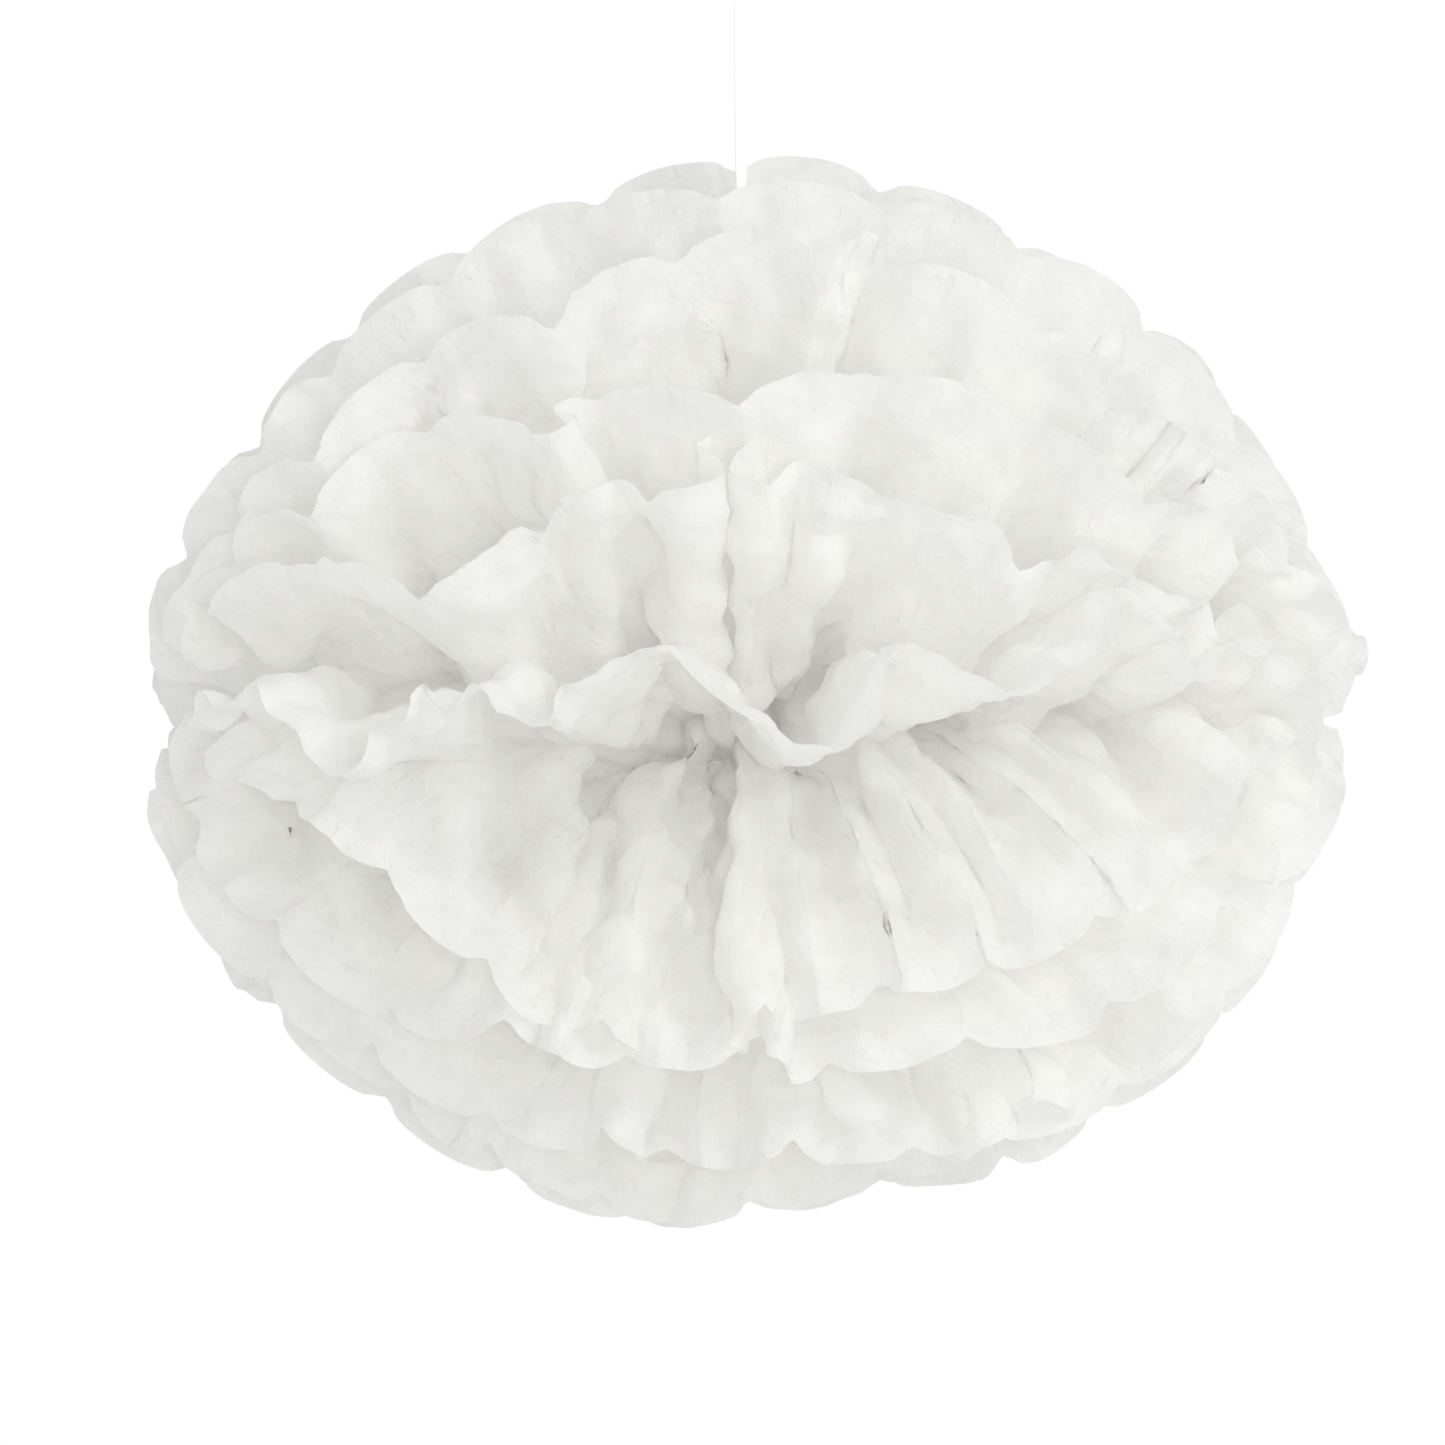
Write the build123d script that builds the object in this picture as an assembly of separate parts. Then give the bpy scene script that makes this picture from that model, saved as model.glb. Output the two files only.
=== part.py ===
"""Tissue paper pom-pom: a hanging fluffed flower ball, 350 mm wide.

Ten sheets of tissue paper are stacked, folded together into twelve pleats, cut round at both ends,
tied at the waist with a wire, and opened out sheet by sheet into an upper and a lower fan. A narrow
ribbon is knotted to the waist, comes out at the top of the ball and ends in a hanging loop.

Millimetres. +Z is up, -Y is the front of the ball and +X its right side. The origin is the point of the
hanging loop that bears on a hook. Each upper fan has a lower fan below the waist, and the five front
sheets are mirrored to the five back sheets.
"""

import os
from math import cos, radians, sin, sqrt

from build123d import *

# Paper
sheets = 10
pleats = 12
paper_body = 0.4  # thickness that stands for a soft layer of tissue and the air in its crumples

# Ball, measured from the centre of the waist
side_reach = 180.0
depth_reach = 157.0
upper_reach = 168.0
lower_reach = 146.0
scallop_depth = 8.0

# Opened fans
front_angle = 17.5  # from straight forward to the frontmost sheet, turned about the side-to-side axis
sheet_step = 14.0  # from one sheet to the next
rim_border = 6.0  # from the side-to-side axis to the first fold of a fan, at the rim
waist_border = 30.0  # the same at the waist, where the folds are still gathered
waist_pleat_angle = 3.0  # half height of a pleat at the waist, as a turn about the side-to-side axis
rim_pleat_angle = 2.5  # the same at the rim, where the pleats have nearly opened flat
fan_lift = 1.2  # how far a fan's own centre lies above or below the waist plane

# Waist
core_radius = 9.0
pocket_depth = 4.0
paper_gap = 0.3
wire_diameter = 1.0
wire_clearance = 0.1
tail_length = 14.0
tail_diameter = 2.0

# Ribbon and hanging loop
ribbon_width = 4.0
knot_diameter = 4.8
knot_clearance = 0.3
strand_gap = 0.3
upper_knot_diameter = 6.8
upper_knot_drop = 30.0  # from the hook down to the centre of the upper knot
waist_drop = 245.0  # from the hook down to the centre of the waist
loop_width = 18.0  # between the middle lines of the loop's two legs
loop_shoulder_drop = 10.0  # from the hook down to where the loop is widest
leg_spacing = 4.6  # between the two legs where they leave the upper knot

front_sheets = sheets // 2
ribbon_radius = ribbon_width / 2
inner_reach = core_radius + paper_gap + paper_body / 2
waist = Vector(0, 0, -waist_drop)


def reach(x, y, z, upper):
    """Distance from the waist to the rim in the direction x, y, z: the ball is an egg, lower below."""
    height = upper_reach if upper else lower_reach
    return 1 / sqrt((x / side_reach) ** 2 + (y / depth_reach) ** 2 + (z / height) ** 2)


def opening_angle(sheet):
    """Turn from straight forward to a sheet, with the sheets counted from the front."""
    if sheet < front_sheets:
        return front_angle + sheet_step * sheet
    return 180.0 - opening_angle(sheets - 1 - sheet)


def fan_point(sheet, upper, fold, share):
    """Point on the middle of the paper: fold counts folds across, share runs from waist to rim.

    An opened half sheet is a half disc that stands on the ball's side-to-side axis, turned about it.
    """
    border = waist_border + (rim_border - waist_border) * share
    rise = radians(border + (180 - 2 * border) * fold / pleats)
    crest = 1 - 2 * (fold % 1) if int(fold) % 2 == 0 else 2 * (fold % 1) - 1
    pleat_angle = waist_pleat_angle + (rim_pleat_angle - waist_pleat_angle) * share
    towards_end = -1 if sheet < front_sheets else 1
    turn = radians(opening_angle(sheet) + towards_end * crest * pleat_angle)
    x, y, z = cos(rise), -sin(rise) * cos(turn), sin(rise) * sin(turn)
    distance = inner_reach + (reach(x, y, z, upper) - inner_reach) * share
    side = 1 if upper else -1
    return Vector(x * distance, y * distance, side * (fan_lift + z * distance))


def fan_surface(sheet, upper):
    """The middle of one opened half sheet, as points and triangles: flat panels with round ends."""
    notch = 1 - scallop_depth / side_reach
    stations = [0, 0.2, 0.55, notch]
    bulge = [(0.2, 1 - 0.3 * (1 - notch)), (0.5, 1), (0.8, 1 - 0.3 * (1 - notch))]
    points, triangles = [], []
    for fold in range(pleats + 1):
        points += [fan_point(sheet, upper, fold, share) for share in stations]
    row = len(stations)
    for fold in range(pleats):
        for step in range(row - 1):
            a, b = fold * row + step, (fold + 1) * row + step
            triangles += [(a, a + 1, b + 1), (a, b + 1, b)]
        start, end, first = fold * row + row - 1, (fold + 1) * row + row - 1, len(points)
        points += [fan_point(sheet, upper, fold + across, share) for across, share in bulge]
        triangles += [(start, first, first + 1), (start, first + 1, first + 2), (start, first + 2, end)]
    return points, triangles


def thick_paper(points, triangles, thickness):
    """A closed solid of even thickness about a surface of triangles."""
    normals = [Vector(0, 0, 0) for _ in points]
    edges = set()
    for a, b, c in triangles:
        facing = (points[b] - points[a]).cross(points[c] - points[a]).normalized()
        for corner in (a, b, c):
            normals[corner] += facing
        edges |= {(a, b), (b, c), (c, a)}
    half = [normal.normalized() * (thickness / 2) for normal in normals]
    front = [point + offset for point, offset in zip(points, half)]
    back = [point - offset for point, offset in zip(points, half)]
    corners = [(front[a], front[b], front[c]) for a, b, c in triangles]
    corners += [(back[a], back[c], back[b]) for a, b, c in triangles]
    for a, b in edges:
        if (b, a) not in edges:
            corners += [(front[b], front[a], back[a]), (front[b], back[a], back[b])]
    return Solid(Shell([Face(Wire.make_polygon(corner)) for corner in corners]))


def half_sheet(sheet, upper):
    """One half of one sheet, from the waist to its scalloped rim."""
    return Pos(waist) * thick_paper(*fan_surface(sheet, upper), paper_body)


def wire_ring(thickness):
    """Ring round the waist, sunk in the paper to half of the wire."""
    return Torus(core_radius - wire_diameter / 2 + wire_clearance, thickness / 2)


def gathered_core():
    """The pinched middles of all sheets, with a groove for the wire and a pocket for the knot."""
    pocket = Pos(0, 0, core_radius - pocket_depth) * Cylinder(
        knot_diameter / 2 + knot_clearance, pocket_depth * 2, align=(Align.CENTER, Align.CENTER, Align.MIN)
    )
    return Pos(waist) * (Sphere(core_radius) - wire_ring(wire_diameter + 2 * wire_clearance) - pocket)


def tie_wire():
    """Wire round the waist, with its two ends twisted into a tail at the back."""
    tail = Pos(0, core_radius, 0) * Rot(-90, 0, 0) * Cylinder(
        tail_diameter / 2, tail_length, align=(Align.CENTER, Align.CENTER, Align.MIN)
    )
    tail = fillet(tail.edges().sort_by(Axis.Y)[-1], tail_diameter / 4)
    return Pos(waist) * (wire_ring(wire_diameter) + tail)


def waist_knot():
    """The ribbon's lower knot, seated in the core's pocket."""
    knot = Cylinder(knot_diameter / 2, pocket_depth, align=(Align.CENTER, Align.CENTER, Align.MIN))
    knot = fillet(knot.edges(), knot_diameter / 8)
    return Pos(waist) * Pos(0, 0, core_radius - pocket_depth) * knot


def ribbon():
    """The taut strand from the waist knot to the upper knot."""
    bottom = -waist_drop + core_radius + strand_gap
    top = -upper_knot_drop - upper_knot_diameter / 2 - strand_gap
    return Pos(0, 0, bottom) * Cylinder(
        ribbon_radius, top - bottom, align=(Align.CENTER, Align.CENTER, Align.MIN)
    )


def upper_knot():
    """The knot that closes the hanging loop. The ball swings about its centre."""
    return Pos(0, 0, -upper_knot_drop) * Sphere(upper_knot_diameter / 2)


def ribbon_loop():
    """The hanging loop. The inside of its top bears on the hook at the origin."""
    top, widest, low = ribbon_radius, -loop_shoulder_drop, -upper_knot_drop
    leg, side = leg_spacing / 2, loop_width / 2
    corners = [(-leg, 0, low), (-side, 0, widest), (-side, 0, top)]
    corners += [(-x, y, z) for x, y, z in reversed(corners)]
    path = FilletPolyline(*corners, radius=side * 0.66)
    section = Plane(origin=path @ 0, z_dir=path % 0) * Circle(ribbon_radius)
    loop = sweep(section, path=path)
    room = Pos(0, 0, -upper_knot_drop) * Sphere(upper_knot_diameter / 2 + strand_gap)
    return loop - room


def main():
    pieces = {
        "gathered_core": gathered_core(),
        "tie_wire": tie_wire(),
        "waist_knot": waist_knot(),
        "ribbon": ribbon(),
        "upper_knot": upper_knot(),
        "ribbon_loop": ribbon_loop(),
    }
    for sheet in range(sheets):
        pieces[f"sheet_{sheet + 1:02d}_upper"] = half_sheet(sheet, True)
        pieces[f"sheet_{sheet + 1:02d}_lower"] = half_sheet(sheet, False)
    os.makedirs("parts", exist_ok=True)
    for name, piece in pieces.items():
        export_step(piece, f"parts/{name}.step")


main()
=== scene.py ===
"""Looks of a hanging tissue paper pom-pom: crumpled half sheets, the tie wire, the ribbon and its loop.

Metres, +Z up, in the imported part's frame. The front of the ball is -Y. Each half sheet starts as a flat
pattern of twelve panels with round ends. Its folds are laid out as an opened fan, and the paper is then
relaxed for a set number of rounds towards the lengths and widths of the pattern, which makes its bends
and ruffles. Crumples come last.
"""

from math import cos, pi, radians, sin

import bmesh
import bpy
import numpy as np
from mathutils import Matrix, Vector


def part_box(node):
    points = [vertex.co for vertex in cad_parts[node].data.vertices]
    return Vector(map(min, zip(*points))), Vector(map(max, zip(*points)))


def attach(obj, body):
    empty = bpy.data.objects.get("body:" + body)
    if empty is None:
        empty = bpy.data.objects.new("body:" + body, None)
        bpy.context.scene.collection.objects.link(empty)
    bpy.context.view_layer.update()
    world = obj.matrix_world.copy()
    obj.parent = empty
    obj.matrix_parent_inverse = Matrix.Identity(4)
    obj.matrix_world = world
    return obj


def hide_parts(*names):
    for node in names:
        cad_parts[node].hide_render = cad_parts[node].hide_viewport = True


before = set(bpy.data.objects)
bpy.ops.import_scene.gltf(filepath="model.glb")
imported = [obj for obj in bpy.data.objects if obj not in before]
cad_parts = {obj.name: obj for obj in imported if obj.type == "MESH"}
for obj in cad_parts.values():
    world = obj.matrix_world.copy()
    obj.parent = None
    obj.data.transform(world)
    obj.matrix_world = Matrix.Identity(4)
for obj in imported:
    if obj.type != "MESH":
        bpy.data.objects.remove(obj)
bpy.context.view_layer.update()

# Paper
SHEETS = 10
PANELS = 12
PANEL_WIDTH = 0.0425
HALF_LENGTH = 0.178
SCALLOP_DEPTH = 0.007
WIDTH_LEFT = (0.70, 0.97)  # share of the paper's width that crumples leave it, near the waist and at the rim
LENGTH_LEFT = 0.94  # the same along the paper
ROWS_PER_PANEL = 8
STATIONS = 36
SEED = 7
CRUMPLE_SEED = 100  # of the first half sheet; the others count up from it

# Crumples, as depth and size
SOFT_SWELLS = [(0.0028, 0.034), (0.0012, 0.014)]
CRUSHED_FACETS = [(0.0042, 0.030), (0.0018, 0.014)]
FACET_LEVEL = 0.4  # height in a net of facets that stays where the paper was
CREASE_COUNT, CREASE_DEPTH = 120, 0.27
CREASE_TURN, CREASE_LENGTH, CREASE_WIDTH = 0.7, (0.015, 0.045), (0.004, 0.011)
FOLD_LINE_DEPTH, FOLD_LINE_WIDTH = 0.0012, 0.006

core_low, core_high = (np.array(corner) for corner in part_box("gathered_core"))
WAIST = (core_low + core_high) / 2
CORE_RADIUS = (core_high[0] - core_low[0]) / 2


def smooth(x, low, high):
    """Runs from 0 at low to 1 at high, level at both ends."""
    x = np.clip((x - low) / (high - low), 0, 1)
    return x * x * (3 - 2 * x)


def lattice_noise(points, cell, rng):
    """Smooth noise between about -1 and 1 over flat points, from random slopes at corners of squares."""
    at = points / cell
    base = np.floor(at).astype(int)
    low = base.min((0, 1)) if base.ndim == 3 else base.min(0)
    size = (base.max((0, 1)) if base.ndim == 3 else base.max(0)) - low + 2
    turn = rng.uniform(0, 2 * pi, size)
    slope = np.stack([np.cos(turn), np.sin(turn)], -1)
    part = at - base
    base = base - low
    fade = part**3 * (part * (part * 6 - 15) + 10)

    def corner(dx, dy):
        away = part - [dx, dy]
        return (slope[base[..., 0] + dx, base[..., 1] + dy] * away).sum(-1)

    near = corner(0, 0) * (1 - fade[..., 0]) + corner(1, 0) * fade[..., 0]
    far = corner(0, 1) * (1 - fade[..., 0]) + corner(1, 1) * fade[..., 0]
    return 1.6 * (near * (1 - fade[..., 1]) + far * fade[..., 1])


def crease_net(points, spacing, rng):
    """Height between 0 and 1 that falls to sharp valleys between the cells of a random net: crushed paper."""
    low, high = points.reshape(-1, 2).min(0) - spacing, points.reshape(-1, 2).max(0) + spacing
    count = int(np.prod((high - low) / spacing))
    seeds = rng.uniform(low, high, (count, 2))
    flat = points.reshape(-1, 2)
    away = np.sqrt(((flat[:, None] - seeds[None]) ** 2).sum(-1))
    away.partition(1, axis=1)
    return (np.clip((away[:, 1] - away[:, 0]) / spacing, 0, 1)).reshape(points.shape[:-1])


def long_creases(points, count, rng):
    """Straight sharp ridges and valleys at random places, as in paper that was folded and pulled open."""
    low, high = points.reshape(-1, 2).min(0), points.reshape(-1, 2).max(0)
    height = np.zeros(points.shape[:-1])
    for _ in range(count):
        centre = rng.uniform(low, high)
        turn = rng.normal(pi / 2, CREASE_TURN)
        length, width = rng.uniform(*CREASE_LENGTH), rng.uniform(*CREASE_WIDTH)
        away = points - centre
        along = away[..., 0] * cos(turn) + away[..., 1] * sin(turn)
        across = away[..., 1] * cos(turn) - away[..., 0] * sin(turn)
        ridge = np.clip(1 - np.abs(across) / width, 0, 1)
        ridge = ridge * (1 - smooth(np.abs(along), 0.3 * length, length))
        height += rng.choice([-1, 1]) * rng.uniform(0.4, 1) * width * ridge
    return height


# The pattern of a half sheet


def pattern(rows_per_panel, stations):
    """Flat places of a half sheet's grid points, and where they lie in folds across and shares along."""
    fold = np.linspace(0, PANELS, PANELS * rows_per_panel + 1)
    share = np.linspace(0, 1, stations)
    part = np.abs(2 * (fold % 1) - 1)
    end = HALF_LENGTH - SCALLOP_DEPTH * (1 - np.sqrt(1 - np.minimum(part, 0.995) ** 2))
    across = np.repeat(fold[:, None] * PANEL_WIDTH, stations, 1)
    along = end[:, None] * share[None]
    return np.stack([across, along], -1), fold, share


# Where each half sheet goes

# Lean of each half sheet from upright, in degrees, front to back: plus leans to the front. Where a list is
# given, it goes fold by fold from the right side of the ball to the left, as the azimuths do. Fullness is the
# share of the folds' full depth that is left towards the rim. Swell is how far a half sheet bulges. Width is
# the share of its width that crumples leave at the rim.
UPPER = [
    dict(
        lean=[76, 78, 80, 82, 83, 86, 89, 90, 90, 92, 91, 86, 82],
        azimuth=[4, 18, 32, 46, 60, 73, 83, 98, 112, 126, 140, 154, 169],
        reach=0.96,
        fullness=0.4,
        swell=0.0,
    ),
    dict(
        lean=[66, 65, 64, 64, 64, 65, 66, 69, 67, 66, 66, 58, 52],
        azimuth=[4, 18, 32, 46, 60, 74, 87, 92, 98, 111, 125, 142, 162],
        reach=0.94,
        fullness=0.4,
        swell=0.026,
        width=0.92,
    ),
    dict(
        lean=[52, 52, 50, 50, 49, 48, 49, 51, 53, 50, 50, 50, 48],
        azimuth=[4, 17, 30, 45, 60, 75, 90, 105, 111, 126, 141, 155, 169],
        reach=0.96,
        fullness=0.45,
        swell=0.024,
    ),
    dict(
        lean=[38, 38, 36, 36, 36, 35, 36, 38, 38, 36, 34, 36, 38],
        azimuth=[8, 22, 37, 45, 60, 75, 82, 96, 110, 124, 139, 153, 168],
        reach=0.97,
        fullness=0.45,
        swell=0.018,
    ),
    dict(lean=21, fullness=0.5, swell=0.014),
    dict(lean=-7),
    dict(lean=-20),
    dict(lean=-38),
    dict(lean=-55),
    dict(lean=-74),
]
LOWER = [
    dict(
        lean=[80, 74, 64, 55, 51, 50, 50, 52, 50, 51, 57, 68, 78],
        azimuth=[5, 19, 33, 47, 60, 74, 88, 93, 106, 120, 134, 149, 165],
        reach=0.95,
        fullness=0.25,
        swell=0.034,
        width=0.88,
    ),
    dict(lean=44, fullness=0.45, swell=0.024, reach=0.96),
    dict(
        lean=[30, 28, 27, 26, 28, 27, 27, 26, 26, 28, 28, 30, 32],
        azimuth=[6, 20, 34, 48, 55, 69, 84, 98, 105, 119, 134, 148, 163],
        fullness=0.45,
        swell=0.018,
    ),
    dict(lean=16, fullness=0.5, swell=0.014),
    dict(lean=6, fullness=0.6),
    dict(lean=-10),
    dict(lean=-28),
    dict(lean=-42),
    dict(lean=-57),
    dict(lean=-74),
]
# Distance from the waist to the rim in millimetres, against the azimuth from the right side to the left.
UPPER_OUTLINE = (
    [0, 12, 25, 45, 70, 90, 110, 130, 150, 160, 180],
    [173, 182, 170, 170, 169, 168, 157, 161, 166, 172, 163],
)
LOWER_OUTLINE = (
    [0, 20, 35, 50, 70, 90, 115, 130, 150, 168, 180],
    [172, 166, 166, 150, 138, 139, 146, 147, 160, 170, 163],
)
SIDE_SPREAD = 0.24  # share of its lean by which a sheet's side folds are turned to the front
ROOT_DEPTH, ROOT_WIDTH, ROOT_HEIGHT = 0.0070, 0.0058, 0.0026
USUAL_FULLNESS, USUAL_SWELL = 0.7, 0.01

# How far chance moves the folds, in degrees, and the rim, as a share of its reach
OUTER_FOLD = (1, 6)
FOLD_SCATTER = 0.3  # share of the space between two folds
LEAN_SCATTER, LEAN_WAVE = 2.5, 5
REACH_SCATTER = (0.97, 1.01)


def direction(azimuth, lean):
    """Unit vector to a rim point of an upper fan: azimuth from the right side, lean to the front."""
    turn = SIDE_SPREAD * lean * abs(cos(azimuth))
    x, y, z = cos(azimuth), -sin(azimuth) * sin(lean), sin(azimuth) * cos(lean)
    return np.array([x * cos(turn), y - abs(x) * sin(turn), z])


def fold_heights(azimuth, far, share):
    """How far each fold stands out of its fan, for panels to keep their width. Even folds stand forward."""
    spacing = 0.5 * (far[1:] + far[:-1])[:, None] * share * np.abs(np.diff(azimuth))[:, None]
    drop = np.sqrt(PANEL_WIDTH**2 - np.minimum(spacing, 0.99 * PANEL_WIDTH) ** 2)
    drop[::2] *= -1
    height = np.concatenate([np.zeros((1, len(share))), np.cumsum(drop, 0)])
    before, after = np.roll(height, 1, 0), np.roll(height, -1, 0)
    before[0], after[-1] = height[1], height[-2]
    return (height - (before + after) / 2) / 2 * smooth(share, -0.1, 0.35)


def layout(sheet, upper, rows_per_panel, stations, rng):
    """Where the grid points of a half sheet would lie in a neat fan, relative to the waist."""
    plan = (UPPER if upper else LOWER)[sheet]
    outline = UPPER_OUTLINE if upper else LOWER_OUTLINE
    _, fold, share = pattern(rows_per_panel, stations)
    folds = np.arange(PANELS + 1)
    first, last = rng.uniform(*OUTER_FOLD), 180 - rng.uniform(*OUTER_FOLD)
    step = (last - first) / PANELS
    loose = rng.uniform(-FOLD_SCATTER, FOLD_SCATTER, PANELS + 1) * step
    azimuth = np.array(plan.get("azimuth", first + step * folds + loose), float)
    lean = np.ones(PANELS + 1) * plan["lean"] + rng.normal(0, LEAN_SCATTER, PANELS + 1)
    lean += LEAN_WAVE * np.sin(folds * rng.uniform(0.6, 1.2) + rng.uniform(0, 6))
    far = np.interp(azimuth, *outline) / 1000 * rng.uniform(*REACH_SCATTER, PANELS + 1)
    far *= plan.get("reach", 1)
    fullness = plan.get("fullness", USUAL_FULLNESS)
    azimuth, lean = np.radians(azimuth), np.radians(lean)
    rise = fold_heights(azimuth, far, share)
    rise *= 1 - (1 - fullness) * smooth(share, 0.05, 0.4)
    swell = plan.get("swell", USUAL_SWELL) * np.sin(pi * share)
    lines = np.zeros((PANELS + 1, stations, 3))
    for n in folds:
        crest = 1 if n % 2 == 0 else -1
        chord = direction(azimuth[n], lean[n]) * far[n]
        inward = np.array([0, -cos(lean[n]), -sin(lean[n])])
        root = np.array([ROOT_WIDTH * (1 - 2 * n / PANELS), -crest * ROOT_DEPTH, ROOT_HEIGHT])
        lines[n] = root * (1 - share[:, None]) ** 2 + chord * share[:, None]
        middling = min(1, 0.35 + sin(azimuth[n]))
        lines[n] += inward * ((rise[n] + swell * np.sign(lean[n])) * middling)[:, None]
    placed = np.zeros((len(fold), stations, 3))
    for i, f in enumerate(fold):
        n = min(int(f), PANELS - 1)
        part = f - n
        a, b = lines[n], lines[n + 1]
        before, after = lines[max(n - 1, 0)], lines[min(n + 2, PANELS)]
        straight = a * (1 - part) + b * part
        round_way = 0.5 * (
            2 * a
            + (b - before) * part
            + (2 * before - 5 * a + 4 * b - after) * part**2
            + (3 * a - before - 3 * b + after) * part**3
        )
        rounding = smooth(share, 0.25, 0.9)[:, None]
        placed[i] = straight * (1 - rounding) + round_way * rounding
    if not upper:
        placed[..., 2] *= -1
    return placed


# Relaxing the paper


SLACK = 0.3  # how strongly paper pushes back when it is pressed together, against when it is stretched
DIAGONAL_STRENGTH = 0.8
LAYER_GAP = 0.0035  # that adjoining half sheets are pushed towards, beyond the middle of their length
PUSH_SHARE = 0.25
COARSE_PASS = dict(rounds=120, hold=0.03, bend=0.10)
FINE_PASS = dict(rounds=60, hold=0.02, bend=0.05)


def pull(a, b, rest, strength):
    """Moves two sets of points in place towards being rest apart."""
    span = b - a
    length = np.sqrt((span**2).sum(-1)) + 1e-9
    strength = 0.5 * strength * np.where(length > rest, 1, SLACK)
    move = span * (strength * (1 - rest / length))[..., None]
    a += move
    b -= move


def taken_up(flat):
    """The flat patterns of all half sheets, drawn in as far as fine crumples draw in the paper."""
    share = flat[..., 1] / HALF_LENGTH
    rims = np.array([plan.get("width", WIDTH_LEFT[1]) for plan in UPPER + LOWER])[:, None, None]
    width = WIDTH_LEFT[0] + (rims - WIDTH_LEFT[0]) * smooth(share, 0.3, 0.95)
    middle = PANELS * PANEL_WIDTH / 2
    along = np.broadcast_to(flat[..., 1] * LENGTH_LEFT, width.shape)
    return np.stack([(flat[..., 0] - middle) * width, along], -1)


# Room for the ribbon between the two middle upper half sheets. Its depth grows with height.
CHANNEL_WIDTH, CHANNEL_DEPTH, CHANNEL_TAPER = 0.010, 0.005, 0.07


def relax(paper, target, flat, rounds, hold, bend):
    """Brings the grid edges towards their lengths in the pattern, the paper held loosely to its target."""
    flat = taken_up(flat)
    cross = np.sqrt(((flat[:, 1:] - flat[:, :-1]) ** 2).sum(-1))
    along = np.sqrt(((flat[:, :, 1:] - flat[:, :, :-1]) ** 2).sum(-1))
    up = np.sqrt(((flat[:, 1:, 1:] - flat[:, :-1, :-1]) ** 2).sum(-1))
    down = np.sqrt(((flat[:, 1:, :-1] - flat[:, :-1, 1:]) ** 2).sum(-1))
    wide = np.sqrt(((flat[:, 2:] - flat[:, :-2]) ** 2).sum(-1))
    tall = np.sqrt(((flat[:, :, 2:] - flat[:, :, :-2]) ** 2).sum(-1))
    pinned = paper[:, :, 0].copy()
    order = target[1:] - target[:-1]
    order /= np.sqrt((order**2).sum(-1, keepdims=True)) + 1e-9
    gap = LAYER_GAP * smooth(np.linspace(0, 1, paper.shape[2]), 0.0, 0.5)
    for _ in range(rounds):
        paper += (target - paper) * hold
        for first in (0, 1):
            a, b = paper[:, first:-1:2], paper[:, first + 1 :: 2]
            pull(a, b, cross[:, first::2], 1.0)
            a, b = paper[:, :, first:-1:2], paper[:, :, first + 1 :: 2]
            pull(a, b, along[:, :, first::2], 1.0)
            a, b = paper[:, first:-1:2, :-1], paper[:, first + 1 :: 2, 1:]
            pull(a, b, up[:, first::2], DIAGONAL_STRENGTH)
            a, b = paper[:, first:-1:2, 1:], paper[:, first + 1 :: 2, :-1]
            pull(a, b, down[:, first::2], DIAGONAL_STRENGTH)
        for first in range(4):
            a, b = paper[:, first:-2:4], paper[:, first + 2 :: 4]
            count = min(a.shape[1], b.shape[1])
            pull(a[:, :count], b[:, :count], wide[:, first::4][:, :count], bend)
            a, b = paper[:, :, first:-2:4], paper[:, :, first + 2 :: 4]
            count = min(a.shape[2], b.shape[2])
            pull(a[:, :, :count], b[:, :, :count], tall[:, :, first::4][:, :, :count], bend)
        for start in (0, SHEETS):
            group = paper[start : start + SHEETS]
            forward = order[start : start + SHEETS - 1]
            lack = gap - ((group[1:] - group[:-1]) * forward).sum(-1)
            push = np.maximum(lack, 0)[..., None] * forward * PUSH_SHARE
            group[1:] += push
            group[:-1] -= push
        front, back = paper[SHEETS // 2 - 1], paper[SHEETS // 2]
        for piece, side in ((front, -1), (back, 1)):
            near = np.abs(piece[..., 0]) < CHANNEL_WIDTH
            clear = CHANNEL_DEPTH + CHANNEL_TAPER * piece[..., 2]
            near &= side * piece[..., 1] < clear
            piece[..., 1][near] = side * clear[near]
        paper[:, :, 0] = pinned
    return paper


def finer(paper):
    """The same grid with a point added in the middle of each edge and each square."""
    for axis in (1, 2):
        moved = np.moveaxis(paper, axis, 0)
        out = np.zeros((2 * len(moved) - 1,) + moved.shape[1:])
        out[::2] = moved
        middle = (moved[1:] + moved[:-1]) / 2
        if len(moved) > 3:
            middle[1:-1] = (9 * (moved[1:-2] + moved[2:-1]) - moved[:-3] - moved[3:]) / 16
        out[1::2] = middle
        paper = np.moveaxis(out, 0, axis)
    return paper


def all_papers():
    """Grid points of all half sheets, the ten upper ones first, relative to the waist."""
    rng = np.random.default_rng(SEED)
    coarse_rows, coarse_stations = ROWS_PER_PANEL // 2, STATIONS // 2
    states = [(sheet, upper) for upper in (True, False) for sheet in range(SHEETS)]
    targets = []
    for sheet, upper in states:
        targets.append(layout(sheet, upper, coarse_rows, coarse_stations + 1, rng))
    target = np.array(targets)
    flat, _, _ = pattern(coarse_rows, coarse_stations + 1)
    paper = relax(target.copy(), target, flat, **COARSE_PASS)
    paper = finer(paper)
    flat, _, _ = pattern(coarse_rows * 2, coarse_stations * 2 + 1)
    paper = relax(paper, paper.copy(), flat, **FINE_PASS)
    return states, paper, flat


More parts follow.
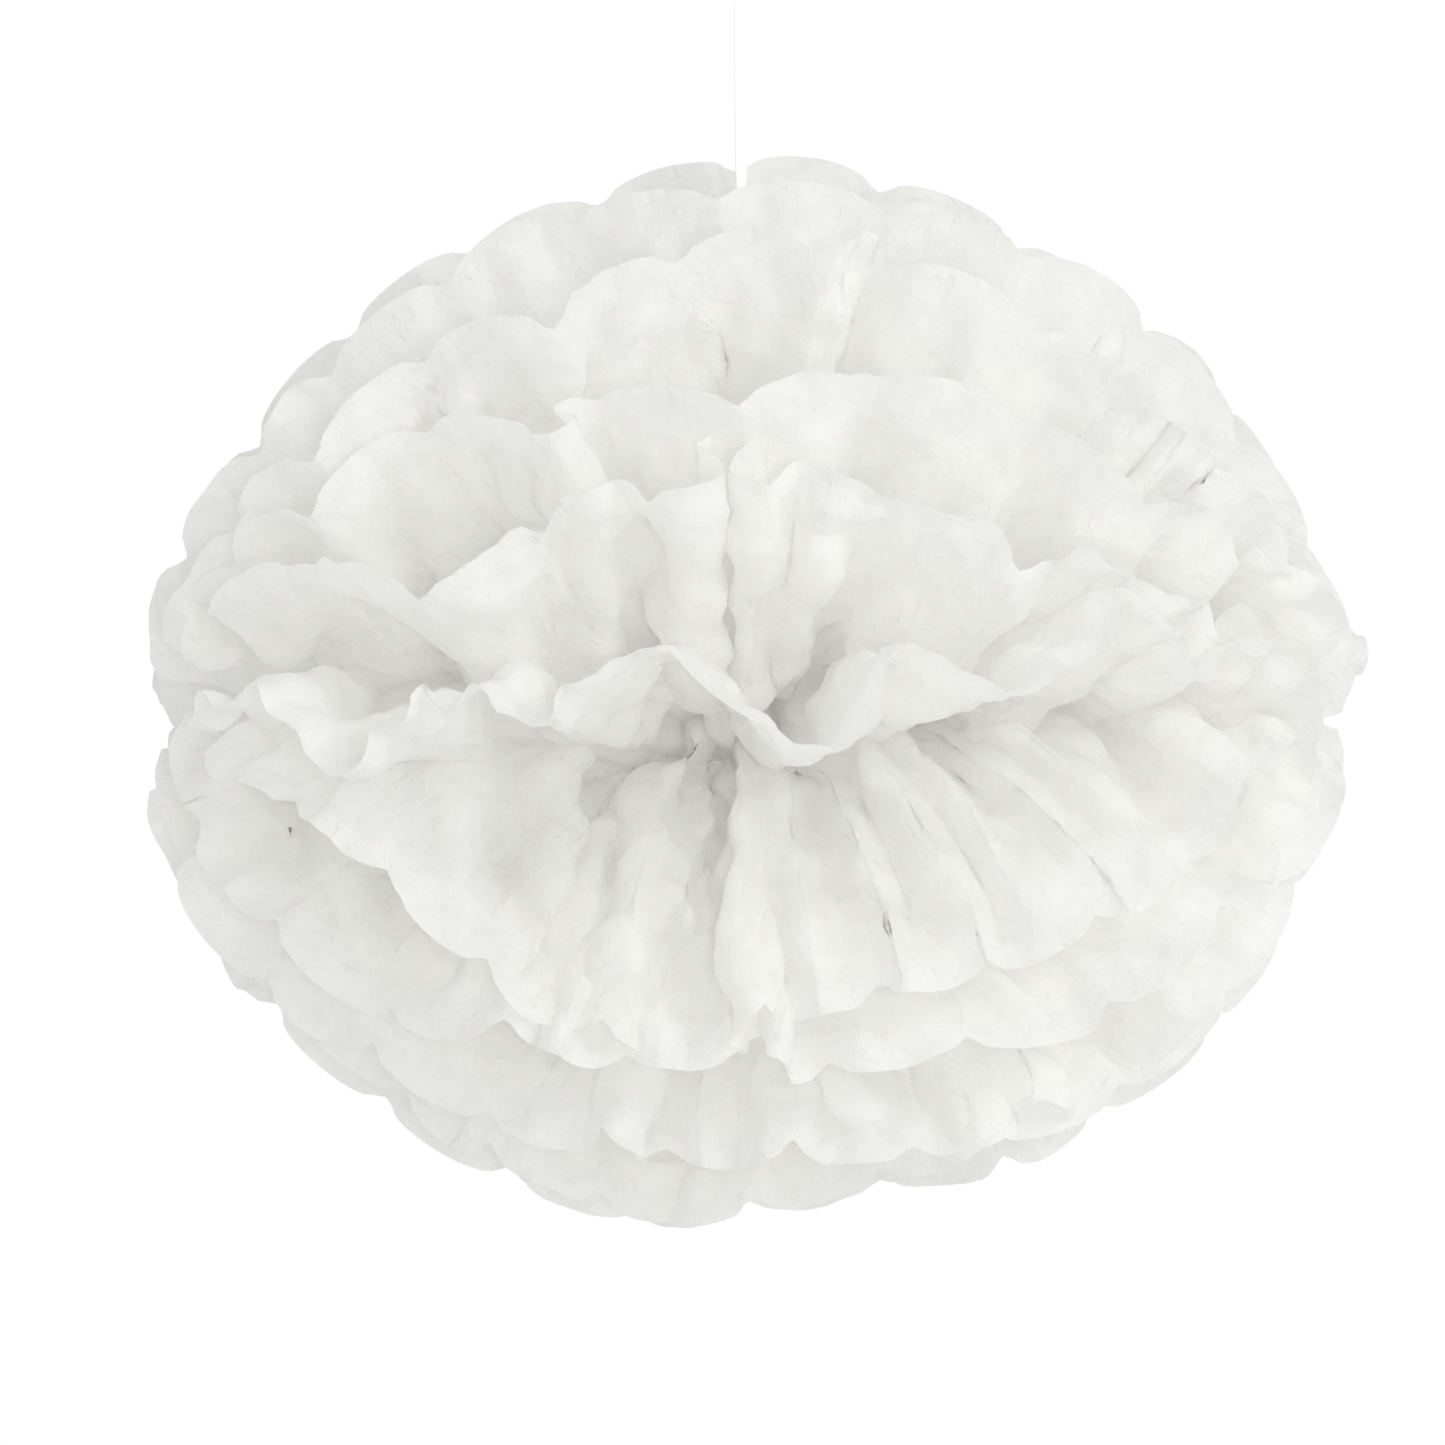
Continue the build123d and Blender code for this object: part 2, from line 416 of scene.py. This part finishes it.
def crumpled(paper, flat, rng):
    """The paper with folds of crushed tissue pressed along its normals."""
    du = np.gradient(paper, axis=0)
    dv = np.gradient(paper, axis=1)
    normal = np.cross(du, dv)
    normal /= np.sqrt((normal**2).sum(-1, keepdims=True)) + 1e-12
    height = np.zeros(flat.shape[:-1])
    for depth, size in SOFT_SWELLS:
        height += depth * lattice_noise(flat, size, rng)
    for depth, size in CRUSHED_FACETS:
        height += depth * (crease_net(flat, size, rng) - FACET_LEVEL)
    height += CREASE_DEPTH * long_creases(flat, CREASE_COUNT, rng)
    beside = np.abs((flat[..., 0] / PANEL_WIDTH + 0.5) % 1 - 0.5) * PANEL_WIDTH
    side = np.where(np.round(flat[..., 0] / PANEL_WIDTH) % 2 == 0, -1, 1)
    height += FOLD_LINE_DEPTH * side * np.clip(1 - beside / FOLD_LINE_WIDTH, 0, 1)
    share = np.linspace(0, 1, paper.shape[1])
    return paper + normal * (height * smooth(share, 0.02, 0.35))[..., None]


def new_piece(name, points, faces, spots, material, flat_faces=0):
    """An object of points and faces, smooth but for its last flat faces, with its flat places as UV map."""
    mesh = bpy.data.meshes.new(name)
    mesh.from_pydata(points.reshape(-1, 3).tolist(), [], faces)
    uv = mesh.uv_layers.new(name="Pattern")
    uv.data.foreach_set("uv", spots.astype(np.float32).ravel())
    mesh.polygons.foreach_set("use_smooth", np.arange(len(faces)) < len(faces) - flat_faces)
    mesh.materials.append(material)
    piece = bpy.data.objects.new(name, mesh)
    bpy.context.scene.collection.objects.link(piece)
    return piece


def sheet_object(name, grid, flat, material):
    """A mesh of quads over a grid of points, with the flat pattern as its UV map."""
    rows, stations = grid.shape[:2]
    index = np.arange(rows * stations).reshape(rows, stations)
    quads = np.stack([index[:-1, :-1], index[1:, :-1], index[1:, 1:], index[:-1, 1:]], -1).reshape(-1, 4)
    return new_piece(name, grid, quads.tolist(), flat.reshape(-1, 2)[quads.ravel()], material)


# Materials


class Value:
    """A socket of a shader tree, with the arithmetic used on it."""

    def __init__(self, shader, socket):
        self.shader, self.socket = shader, socket

    def _maths(self, operation, first, second):
        return self.shader.node("ShaderNodeMath", {"operation": operation}, {0: first, 1: second})

    def __add__(self, other):
        return self._maths("ADD", self, other)

    def __rsub__(self, other):
        return self._maths("SUBTRACT", other, self)

    def __mul__(self, other):
        return self._maths("MULTIPLY", self, other)

    __radd__, __rmul__ = __add__, __mul__

    def over(self, low, high):
        """0 below low, 1 above high, smooth between."""
        values = {"Value": self, "From Min": low, "From Max": high}
        return self.shader.node("ShaderNodeMapRange", {"interpolation_type": "SMOOTHSTEP"}, values, "Result")


class Shader:
    """A material's tree. A node is made from its type, its settings and its sockets' values or links."""

    def __init__(self, name):
        self.material = bpy.data.materials.new(name)
        self.material.use_nodes = True
        self.tree = self.material.node_tree
        self.tree.nodes.clear()

    def node(self, kind, settings=None, values=None, result=0):
        made = self.tree.nodes.new(kind)
        for key, value in (settings or {}).items():
            setattr(made, key, value)
        for key, value in (values or {}).items():
            socket = next((entry for entry in made.inputs if entry.identifier == key), None)
            socket = socket or made.inputs[key]
            if isinstance(value, Value):
                self.tree.links.new(value.socket, socket)
            else:
                socket.default_value = value
        named = next((entry for entry in made.outputs if entry.identifier == result), None)
        return Value(self, named or made.outputs[result]) if len(made.outputs) else None

    def pattern(self, scale):
        """The piece's flat pattern, in metres, stretched by scale."""
        place = self.node("ShaderNodeUVMap", {"uv_map": "Pattern"})
        return self.node("ShaderNodeMapping", {}, {"Vector": place, "Scale": scale})

    def noise(self, place, scale, detail=3.0, roughness=0.55, distortion=0.0):
        values = {"Vector": place, "Scale": scale, "Detail": detail}
        values |= {"Roughness": roughness, "Distortion": distortion}
        return self.node("ShaderNodeTexNoise", {}, values)

    def mix(self, factor, first, second):
        values = {"Factor_Float": factor, "A_Color": first, "B_Color": second}
        return self.node("ShaderNodeMix", {"data_type": "RGBA"}, values, "Result_Color")

    def bump(self, height, strength, distance):
        return self.node("ShaderNodeBump", {}, {"Height": height, "Strength": strength, "Distance": distance})

    def finish(self, surface):
        self.node("ShaderNodeOutputMaterial", {}, {"Surface": surface})
        return self.material


# Painted shade and painted light: shaded and bright colours of the same white paper, mixed by the height of
# its wrinkles.
PAPER_SHADED = (0.885, 0.88, 0.865, 1)
PAPER_BRIGHT = (0.935, 0.935, 0.925, 1)
PAPER_FIBRE = (0.89, 0.89, 0.88, 1)
PAINTED_LAYER_GLOW = 0.11  # painted light: an emitted glow that stands for light that has wandered through the layers


def tissue_paper():
    """Thin white tissue: cloudy fibres, soft wrinkles with painted shade in their hollows, a painted glow,
    and light that comes through from behind.
    """
    paper = Shader("white_tissue")
    place = paper.pattern((1, 1, 1))
    clouds = paper.noise(place, 55, 4, 0.6)
    fibres = paper.noise(paper.pattern((1, 2.4, 1)), 900, 3, 0.65, 0.6)
    crushed = paper.noise(place, 150, 4, 0.6, 1.5)
    long_way = paper.noise(paper.pattern((1, 0.4, 1)), 75, 3, 0.5, 1.0)
    # Painted shade: the paper is darkened where the cloud and long-way noises that also raise the bump run
    # low, in the wrinkles' hollows, and lightened on their rises; the same noises also vary its tone at
    # random.
    cloud_tone_and_painted_shade = clouds.over(0.35, 0.65) * 0.6 + long_way.over(0.35, 0.6) * 0.4
    color = paper.mix(cloud_tone_and_painted_shade, PAPER_SHADED, PAPER_BRIGHT)
    color = paper.mix(fibres.over(0.30, 0.62), PAPER_FIBRE, color)
    height = crushed * 0.7 + long_way * 1.2 + fibres * 0.12 + clouds * 1.5
    normal = paper.bump(height, 0.9, 0.0014)
    face = {
        "Base Color": color,
        "Roughness": 0.92 - 0.25 * clouds,
        "Specular IOR Level": 0.25,
        # Painted light: a faint emitted glow stands for light that has wandered through the layers of paper.
        "Emission Color": (1, 0.985, 0.955, 1),
        "Emission Strength": PAINTED_LAYER_GLOW,
        "Normal": normal,
    }
    surface = paper.node("ShaderNodeBsdfPrincipled", {}, face)
    lit_through = {"Color": (0.975, 0.975, 0.96, 1), "Normal": normal}
    through = paper.node("ShaderNodeBsdfTranslucent", {}, lit_through)
    share = 0.46 + 0.16 * clouds.over(0.3, 0.7)
    return paper.finish(paper.node("ShaderNodeMixShader", {}, {0: share, 1: surface, 2: through}))


def satin_ribbon():
    """White woven ribbon: fine ribs across it with painted shade between them, a denser selvedge at both
    edges, a soft gloss, and a painted glow.
    """
    ribbon = Shader("white_satin_ribbon")
    place = ribbon.pattern((1, 1, 1))
    ribs = ribbon.node(
        "ShaderNodeTexWave",
        {"wave_type": "BANDS", "bands_direction": "Y", "wave_profile": "SIN"},
        {"Vector": place, "Scale": 700, "Distortion": 0.4, "Detail": 1.0},
    )
    threads = ribbon.noise(ribbon.pattern((1, 0.06, 1)), 5200, 2)
    slubs = ribbon.noise(ribbon.pattern((1, 0.3, 1)), 420, 3)
    # Painted shade: the ribbon is darker in the grooves of its ribs and threads, where the bump runs low; its
    # slubs vary its tone at random.
    weave_tone_and_painted_shade = ribs * 0.45 + threads.over(0.3, 0.7) * 0.35 + slubs.over(0.3, 0.7) * 0.2
    color = ribbon.mix(weave_tone_and_painted_shade, (0.86, 0.85, 0.83, 1), (0.97, 0.97, 0.96, 1))
    face = {
        "Base Color": color,
        "Roughness": 0.34 + 0.22 * (1 - threads),
        # Painted light: the ribbon glows faintly with emission, in place of light bounced through the paper
        # around it.
        "Specular IOR Level": 0.55,
        "Emission Color": (1, 1, 0.98, 1),
        "Emission Strength": PAINTED_LAYER_GLOW,
        "Normal": ribbon.bump(ribs * 0.7 + threads * 0.3, 0.6, 0.00012),
    }
    return ribbon.finish(ribbon.node("ShaderNodeBsdfPrincipled", {}, face))


def drawn_wire():
    """Bright steel wire with the fine lines of the drawing die and a few dull spots."""
    steel = Shader("drawn_steel_wire")
    place = steel.node("ShaderNodeTexCoord", {}, {}, "Object")
    lines = steel.noise(place, 9000, 2, 0.5)
    spots = steel.noise(place, 700, 4, 0.6)
    dull = spots.over(0.52, 0.7)
    face = {
        "Base Color": steel.mix(dull, (0.62, 0.62, 0.63, 1), (0.42, 0.40, 0.38, 1)),
        "Metallic": 1 - 0.25 * dull,
        "Roughness": 0.24 + 0.12 * lines + 0.25 * dull,
        "Normal": steel.bump(lines * 0.5 + spots, 0.25, 0.00004),
    }
    return steel.finish(steel.node("ShaderNodeBsdfPrincipled", {}, face))


def pale_floor():
    """Matt pale board."""
    board = Shader("pale_floor")
    grain = board.noise(board.node("ShaderNodeTexCoord", {}, {}, "Object"), 4, 4)
    color = board.mix(grain, (0.885, 0.885, 0.88, 1), (0.92, 0.92, 0.915, 1))
    face = {"Base Color": color, "Roughness": 0.8 + 0.1 * grain}
    return board.finish(board.node("ShaderNodeBsdfPrincipled", {}, face))


# Ribbon, knots, gathered middle and wire


def grid_mesh(name, grid, flat, material, around=False):
    """A mesh over rows of points, with flat places as its UV map. Around closes each row on itself."""
    rows, count = grid.shape[:2]
    index = np.arange(rows * count).reshape(rows, count)
    places = flat
    if around:
        index = np.concatenate([index, index[:, :1]], 1)
        width = flat[:, 1:2] - flat[:, :1]
        places = np.concatenate([flat, flat[:, -1:] + width], 1)
    corners = [(0, 0), (0, 1), (1, 1), (1, 0)]
    block = [slice(0, -1), slice(1, None)]
    quads = np.stack([index[block[i], block[j]] for i, j in corners], -1).reshape(-1, 4)
    spots = np.stack([places[block[i], block[j]] for i, j in corners], 2).reshape(-1, 2)
    faces = quads.tolist()
    if around:
        faces += [index[0, :-1][::-1].tolist(), index[-1, :-1].tolist()]
        spots = np.concatenate([spots, flat[0][::-1], flat[-1]])
    return new_piece(name, grid, faces, spots, material, flat_faces=len(faces) - len(quads))


RIBBON_THICKNESS = 0.00035
SELVEDGE = 0.00018  # how far the rolled edges of the ribbon stand proud


def ribbon_band(name, line, widthwise, width, material, edge=6):
    """A flat ribbon along a line of points. Widthwise gives the direction across it at each point."""
    line = np.asarray(line, float)
    ahead = np.gradient(line, axis=0)
    ahead /= np.sqrt((ahead**2).sum(-1, keepdims=True))
    side = widthwise - ahead * (widthwise * ahead).sum(-1, keepdims=True)
    side /= np.sqrt((side**2).sum(-1, keepdims=True))
    face = np.cross(ahead, side)
    across = np.linspace(-1, 1, 2 * edge + 1)
    from_middle = np.abs(across)
    rolled = SELVEDGE * smooth(from_middle, 0.7, 0.9) * (1 - smooth(from_middle, 0.92, 1.0))
    roll = RIBBON_THICKNESS / 2 + rolled
    outline = [(u, t) for u, t in zip(across, roll)] + [(u, -t) for u, t in zip(across[::-1], roll[::-1])]
    u = np.array([point[0] for point in outline]) * (width / 2)
    t = np.array([point[1] for point in outline])
    grid = line[:, None] + side[:, None] * u[None, :, None] + face[:, None] * t[None, :, None]
    run = np.concatenate([[0], np.cumsum(np.sqrt((np.diff(line, axis=0) ** 2).sum(-1)))])
    flat = np.stack(np.broadcast_arrays(np.cumsum(np.abs(np.gradient(u)))[None], run[:, None]), -1)
    return grid_mesh(name, grid, flat, material, around=True)


def strand(material):
    """The taut ribbon from the waist knot to the upper knot, which turns slowly to one side and back."""
    low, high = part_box("ribbon")
    width = high[0] - low[0]
    rows = 220
    along = np.linspace(0, 1, rows)
    turn = radians(8) + radians(55) * smooth(along, 0.0, 0.55) - radians(50) * smooth(along, 0.5, 1.0)
    line = np.stack([0 * along, 0 * along, low[2] + (high[2] - low[2]) * along], -1)
    across = np.stack([np.cos(turn), np.sin(turn), 0 * along], -1)
    piece = ribbon_band("ribbon_strand", line, across, width, material)
    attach(piece, "strand")
    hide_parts("ribbon")
    return piece, line, width


def knot(name, node, body, size, material):
    """An overhand knot of ribbon: a trefoil pulled tight, with the ribbon's folds round it."""
    low, high = (np.array(corner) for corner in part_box(node))
    middle, reach = (low + high) / 2, (high - low) / 2
    turn = np.linspace(0, 2 * pi, 181)[:-1]
    x, y = np.sin(turn) + 2 * np.sin(2 * turn), np.cos(turn) - 2 * np.cos(2 * turn)
    line = np.stack([x, y, -1.4 * np.sin(3 * turn)], -1)
    ahead = np.roll(line, -1, 0) - np.roll(line, 1, 0)
    ahead /= np.sqrt((ahead**2).sum(-1, keepdims=True))
    out = line / np.sqrt((line**2).sum(-1, keepdims=True))
    side = np.cross(ahead, out)
    side /= np.sqrt((side**2).sum(-1, keepdims=True))
    out = np.cross(side, ahead)
    around = np.linspace(0, 2 * pi, 29)[:-1]
    fold = 1 + 0.10 * np.cos(5 * around)[None] * (1 + 0.5 * np.sin(4 * turn))[:, None]
    thick, wide = 0.95 * np.sin(around), 1.35 * np.cos(around)
    ring = out[:, None] * thick[None, :, None] + side[:, None] * wide[None, :, None]
    grid = line[:, None] + ring * fold[..., None]
    grid = np.concatenate([grid, grid[:1]])
    grid = grid / np.abs(grid).max((0, 1)) * reach * size + middle
    run = np.linspace(0, 8 * reach[0], len(grid))
    flat = np.stack(np.broadcast_arrays((around * reach[0] * 0.35)[None], run[:, None]), -1)
    rows, count = grid.shape[:2]
    index = np.arange((rows - 1) * count).reshape(rows - 1, count)
    index = np.concatenate([index, index[:1]])
    index = np.concatenate([index, index[:, :1]], 1)
    width = flat[:, 1:2] - flat[:, :1]
    places = np.concatenate([flat, flat[:, -1:] + width], 1)
    quads = np.stack([index[:-1, :-1], index[:-1, 1:], index[1:, 1:], index[1:, :-1]], -1).reshape(-1, 4)
    spots = np.stack([places[:-1, :-1], places[:-1, 1:], places[1:, 1:], places[1:, :-1]], 2).reshape(-1, 2)
    piece = new_piece(name, grid[:-1], quads.tolist(), spots, material)
    outwards(piece)
    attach(piece, body)
    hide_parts(node)
    return piece


def outwards(piece):
    """Turns a closed mesh's faces to the outside."""
    shape = bmesh.new()
    shape.from_mesh(piece.data)
    bmesh.ops.recalc_face_normals(shape, faces=shape.faces)
    shape.to_mesh(piece.data)
    shape.free()


LOOP_START = 0.0022  # height of the legs' lower ends over the knot's middle
LOOP_LEG = 0.0016  # half the space between the legs' lower ends
LOOP_SHOULDER = -0.011  # height at which the loop is widest, from the hook


def hanging_loop(material):
    """The ribbon's loop: up from the upper knot, round over the hook and back, its width front to back."""
    low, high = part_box("ribbon_loop")
    knot_low, knot_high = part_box("upper_knot")
    width = high[1] - low[1]
    side = high[0] - width / 2
    start = (knot_low[2] + knot_high[2]) / 2 + LOOP_START
    leg, shoulder = LOOP_LEG, LOOP_SHOULDER
    half = []
    for t in np.linspace(0, 1, 40)[:-1]:
        bow = t * t * (3 - 2 * t)
        half.append((leg + (side - leg) * bow, start + (shoulder - start) * t))
    for turn in np.linspace(0, pi / 2, 30):
        half.append((side * cos(turn) ** 0.8, shoulder + (-shoulder + RIBBON_THICKNESS / 2) * sin(turn)))
    right = [(x, 0, z) for x, z in half]
    line = np.array(right + [(-x, y, z) for x, y, z in right[-2::-1]])
    across = np.tile([0.0, 1.0, 0.0], (len(line), 1))
    across[:, 0] += 0.10 * np.sin(np.linspace(0, 7, len(line)))
    piece = ribbon_band("ribbon_loop_band", line, across, width * 0.97, material)
    outwards(piece)
    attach(piece, "hanger")
    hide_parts("ribbon_loop")
    return piece


def gathered_middle(material):
    """The pinched middle of the stack: pleats' edges side by side, drawn in where the wire goes round."""
    rng = np.random.default_rng(SEED + 1)
    rows, count = 60, 288
    level = np.linspace(-1, 1, rows)
    around = np.linspace(0, 2 * pi, count + 1)[:-1]
    round_part = np.sqrt(np.clip(1 - (level * 0.93) ** 2, 0, 1))
    radius = CORE_RADIUS * round_part * (1 - 0.16 * np.exp(-((level / 0.12) ** 2)))
    pleats = np.zeros((rows, count))
    for waves, depth in ((34, 0.030), (57, 0.022), (83, 0.012)):
        wander = rng.uniform(0, 6) + 0.8 * np.sin(level * rng.uniform(1, 3) + rng.uniform(0, 6))
        pleats += depth * (np.abs(np.sin((around[None] * waves + wander[:, None]) / 2)) - 0.8)
    shape = radius[:, None] * (0.97 + pleats)
    height = CORE_RADIUS * 0.93 * level[:, None] * np.ones(count)[None]
    grid = np.stack([shape * np.cos(around)[None], shape * np.sin(around)[None], height], -1) + WAIST
    flat = np.stack(np.broadcast_arrays((around * CORE_RADIUS)[None], (level * CORE_RADIUS)[:, None]), -1)
    piece = grid_mesh("gathered_middle", grid, flat, material, around=True)
    outwards(piece)
    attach(piece, "waist")
    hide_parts("gathered_core")


def wound_wire(strands, coil_radius, wire_radius, turns, height, material):
    """Geometry nodes: strands of wire wound side by side along +Z, as a plain mesh."""
    tree = bpy.data.node_groups.new("wound_wire", "GeometryNodeTree")
    sizes = {"Coil Radius": coil_radius, "Wire Radius": wire_radius, "Turns": turns, "Height": height}
    sockets = {}
    for name in sizes:
        sockets[name] = tree.interface.new_socket(name=name, in_out="INPUT", socket_type="NodeSocketFloat")
    tree.interface.new_socket(name="Geometry", in_out="OUTPUT", socket_type="NodeSocketGeometry")
    given = tree.nodes.new("NodeGroupInput")

    def node(kind, **values):
        made = tree.nodes.new(kind)
        for name, value in values.items():
            socket = made.inputs[name.replace("_", " ")]
            if isinstance(value, bpy.types.NodeSocket):
                tree.links.new(value, socket)
            else:
                socket.default_value = value
        return made

    coil = node(
        "GeometryNodeCurveSpiral",
        Resolution=48,
        Rotations=given.outputs["Turns"],
        Start_Radius=given.outputs["Coil Radius"],
        End_Radius=given.outputs["Coil Radius"],
        Height=given.outputs["Height"],
    )
    section = node("GeometryNodeCurvePrimitiveCircle", Resolution=14, Radius=given.outputs["Wire Radius"])
    curves = {"Curve": coil.outputs[0], "Profile_Curve": section.outputs[0]}
    wire = node("GeometryNodeCurveToMesh", **curves, Fill_Caps=True)
    joined = tree.nodes.new("GeometryNodeJoinGeometry")
    for number in range(strands):
        around = (0, 0, 2 * pi * number / strands)
        turned = node("GeometryNodeTransform", Geometry=wire.outputs[0], Rotation=around)
        tree.links.new(turned.outputs[0], joined.inputs[0])
    real = node("GeometryNodeRealizeInstances", Geometry=joined.outputs[0])
    shaded = node("GeometryNodeSetShadeSmooth", Geometry=real.outputs[0])
    finish = node("GeometryNodeSetMaterial", Geometry=shaded.outputs[0], Material=material)
    end = tree.nodes.new("NodeGroupOutput")
    tree.links.new(finish.outputs[0], end.inputs[0])
    holder = bpy.data.objects.new("wound_wire", bpy.data.meshes.new("wound_wire"))
    bpy.context.scene.collection.objects.link(holder)
    modifier = holder.modifiers.new("wound_wire", "NODES")
    modifier.node_group = tree
    for name, value in sizes.items():
        modifier[sockets[name].identifier] = float(value)
    evaluated = holder.evaluated_get(bpy.context.evaluated_depsgraph_get())
    mesh = bpy.data.meshes.new_from_object(evaluated)
    bpy.data.objects.remove(holder)
    return mesh


WIRE_RADIUS = 0.0005
RING_RISE = 0.0004  # from one end of the wire's turn to the other
TAIL_END = 0.0006  # by which the twisted tail is shorter than its room


def tie_wire(material):
    """One turn of wire round the waist and its two ends twisted into a tail at the back."""
    low, high = (np.array(corner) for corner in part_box("tie_wire"))
    ring = (high[0] - low[0]) / 2
    wire = WIRE_RADIUS
    tail = high[1] - WAIST[1] - ring
    loop = wound_wire(1, ring - wire, wire, 1.0, RING_RISE, material)
    twist = wound_wire(2, wire, wire * 0.98, 5.0, tail - TAIL_END, material)
    for mesh, place in (
        (loop, Matrix.Translation((0, 0, WAIST[2] - RING_RISE / 2)) @ Matrix.Rotation(pi / 2, 4, "Z")),
        (twist, Matrix.Translation((0, WAIST[1] + ring, WAIST[2])) @ Matrix.Rotation(-pi / 2, 4, "X")),
    ):
        mesh.transform(place)
    shape = bmesh.new()
    shape.from_mesh(loop)
    shape.from_mesh(twist)
    bmesh.ops.recalc_face_normals(shape, faces=shape.faces)
    mesh = bpy.data.meshes.new("twisted_tie_wire")
    shape.to_mesh(mesh)
    shape.free()
    mesh.materials.append(material)
    mesh.polygons.foreach_set("material_index", np.zeros(len(mesh.polygons), np.int32))
    piece = bpy.data.objects.new("twisted_tie_wire", mesh)
    bpy.context.scene.collection.objects.link(piece)
    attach(piece, "waist")
    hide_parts("tie_wire")


# Stage


ROOM_LIGHT = 0.72  # light that the white surroundings give; they look pure white themselves
FLOOR_RADIUS, FLOOR_DROP = 2.6, 0.52
LENS_SENSOR = 36
VIEW_WIDTH = 0.4104  # at the middle of the ball
EYE_DISTANCE, EYE_LEFT, EYE_BELOW = 2.5, 0.0053, 0.0007  # from the middle of the waist


def soft_box(name, place, size, watts):
    """A square soft light that faces the ball."""
    light = bpy.data.lights.new(name, "AREA")
    light.size = size
    light.energy = watts
    lamp = bpy.data.objects.new(name, light)
    bpy.context.scene.collection.objects.link(lamp)
    lamp.location = place
    towards = Vector((0, 0, WAIST[2])) - Vector(place)
    lamp.rotation_euler = towards.to_track_quat("-Z", "Y").to_euler()


def stage():
    """Pale floor far below the ball, white surroundings, soft light, and the camera."""
    place = (0, 0, WAIST[2] - FLOOR_DROP)
    bpy.ops.mesh.primitive_circle_add(vertices=96, radius=FLOOR_RADIUS, fill_type="NGON", location=place)
    floor = bpy.context.object
    floor.name = "floor"
    floor.data.materials.append(pale_floor())
    world = bpy.data.worlds.new("white_room")
    bpy.context.scene.world = world
    world.use_nodes = True
    tree = world.node_tree
    room = tree.nodes["Background"]
    room.inputs["Color"].default_value = (1, 1, 1, 1)
    seen = tree.nodes.new("ShaderNodeLightPath").outputs["Is Camera Ray"]
    strength = tree.nodes.new("ShaderNodeMapRange")
    strength.inputs["To Min"].default_value = ROOM_LIGHT
    strength.inputs["To Max"].default_value = 1.0
    tree.links.new(seen, strength.inputs["Value"])
    tree.links.new(strength.outputs["Result"], room.inputs["Strength"])
    soft_box("key_box", (1.8, -1.6, WAIST[2] + 1.0), 0.7, 15)
    soft_box("front_box", (0.30, -2.6, WAIST[2] - 0.05), 0.6, 12)
    camera = bpy.data.cameras.new("camera")
    camera.sensor_width = LENS_SENSOR
    camera.lens = LENS_SENSOR * EYE_DISTANCE / VIEW_WIDTH
    eye = bpy.data.objects.new("camera", camera)
    bpy.context.scene.collection.objects.link(eye)
    eye.location = (-EYE_LEFT, -EYE_DISTANCE, WAIST[2] - EYE_BELOW)
    eye.rotation_euler = (pi / 2, 0, 0)
    bpy.context.scene.camera = eye
    bpy.context.scene.view_settings.view_transform = "Standard"


def main():
    stage()
    tissue = tissue_paper()
    ribbon = satin_ribbon()
    gathered_middle(tissue)
    tie_wire(drawn_wire())
    waist_knot = knot("ribbon_waist_knot", "waist_knot", "waist", 0.97, ribbon)
    top_knot = knot("ribbon_upper_knot", "upper_knot", "knot", 0.98, ribbon)
    loop = hanging_loop(ribbon)
    piece, line, width = strand(ribbon)
    float(line[-1][2] - line[0][2])
    states, papers, flat = all_papers()
    papers = finer(papers)
    fine_flat = finer(flat[None])[0]
    for number, ((sheet, upper), paper) in enumerate(zip(states, papers)):
        rng = np.random.default_rng(CRUMPLE_SEED + number)
        half = "upper" if upper else "lower"
        name = f"tissue_{sheet + 1:02d}_{half}"
        grid = crumpled(paper, fine_flat, rng) + WAIST
        piece = sheet_object(name, grid, fine_flat, tissue)
        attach(piece, f"fan_{sheet + 1:02d}_{half}")
        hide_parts(f"sheet_{sheet + 1:02d}_{half}")


main()
